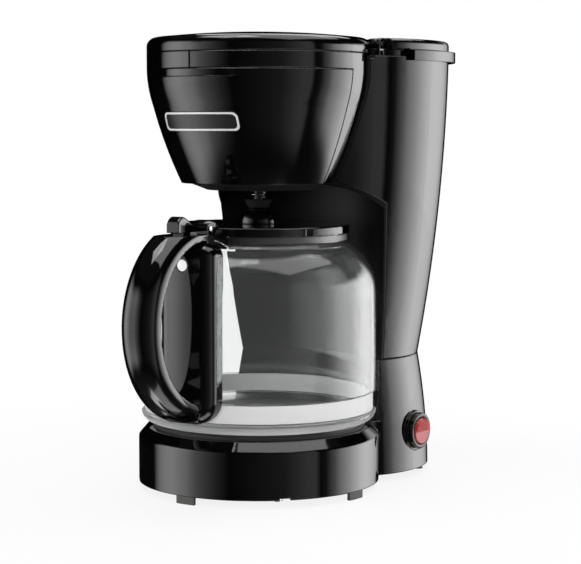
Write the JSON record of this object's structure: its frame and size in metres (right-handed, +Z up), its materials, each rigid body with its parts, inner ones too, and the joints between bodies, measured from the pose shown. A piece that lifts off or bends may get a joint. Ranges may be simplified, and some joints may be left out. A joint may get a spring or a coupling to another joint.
{
  "type": "drip coffee maker",
  "caption": "Drip coffee maker with a round base, warming plate, rear water column, pull-out filter basket and a glass carafe with a loop handle.",
  "frame": {"origin": "middle of the footprint at the height the feet stand on", "axes": "+Z up, front with the carafe handle towards -Y, switch on the +X side"},
  "size_m": [0.174, 0.3142, 0.3003],
  "materials": {
    "gloss_black": "polished black",
    "satin_black": "satin black",
    "bezel_black": "black",
    "rubber_foot": "matt black",
    "silicone_hose": "milky",
    "plate_coating": "non-stick coating",
    "cast_aluminium": "as cast",
    "carafe_trim": "pale matt grey",
    "bright_steel": "bright",
    "terminal_brass": "bright",
    "thermostat_resin": "moulded resin",
    "rocker_red": "translucent red",
    "badge": "blank, gloss",
    "carafe_glass": "clear"
  },
  "bodies": {
    "machine": {"base_housing": "gloss_black", "reservoir_housing": "gloss_black", "reservoir_front": "gloss_black", "brew_housing": "gloss_black", "brew_cover": "gloss_black", "base_plate": "satin_black", "cord_gland": "satin_black", "switch_body": "satin_black", "shower_head": "satin_black", "spray_arm": "satin_black", "switch_bezel": "bezel_black", "feet": "rubber_foot", "plate_gasket": "rubber_foot", "feed_hose": "silicone_hose", "riser_hose": "silicone_hose", "riser_tube": "silicone_hose", "warming_plate": "plate_coating", "heater_body": "cast_aluminium", "thermal_fuse": "cast_aluminium", "lid_hinge_pins": "bright_steel", "base_screws": "bright_steel", "plate_stud": "bright_steel", "strap_nut": "bright_steel", "heater_strap": "bright_steel", "hose_clips": "bright_steel", "heating_element": "bright_steel", "switch_terminals": "terminal_brass", "thermostat": "thermostat_resin"},
    "reservoir_lid": {"reservoir_lid": "gloss_black"},
    "basket": {"filter_basket": "satin_black", "basket_front": "gloss_black", "badge_plate": "badge", "valve_spring": "bright_steel"},
    "valve": {"drip_valve": "satin_black", "valve_seal": "rubber_foot"},
    "rocker": {"switch_rocker": "rocker_red"},
    "carafe": {"carafe_glass": "carafe_glass", "carafe_band": "carafe_trim", "neck_band": "bright_steel", "carafe_handle": "gloss_black", "handle_screw": "bright_steel", "lid_pin": "bright_steel", "carafe_lid": "gloss_black", "lid_seal": "rubber_foot", "drip_dome": "gloss_black", "thumb_lever": "gloss_black"}
  },
  "joints": [
    {"name": "reservoir_lid_hinge", "type": "hinge", "parent": "machine", "child": "reservoir_lid", "pos_m": [0, 0.0297, 0.29346], "axis": [1, 0, 0], "range_deg": [0, 85]},
    {"name": "basket_slide", "type": "slide", "parent": "machine", "child": "basket", "axis": [0, -1, 0], "range_m": [0, 0.14]},
    {"name": "valve_lift", "type": "slide", "parent": "basket", "child": "valve", "axis": [0, 0, 1], "range_m": [0, 0.003], "stiffness_N_per_m": 300, "springref_m": -0.003, "deforming": ["valve_spring"]},
    {"name": "rocker_tilt", "type": "hinge", "parent": "machine", "child": "rocker", "pos_m": [0.0712, 0.07512, 0.0315], "axis": [0, -1, 0], "range_deg": [0, 16]},
    {"name": "carafe_slide", "type": "slide", "parent": "machine", "child": "carafe", "axis": [0, -1, 0], "range_m": [0, 0.2]}
  ]
}
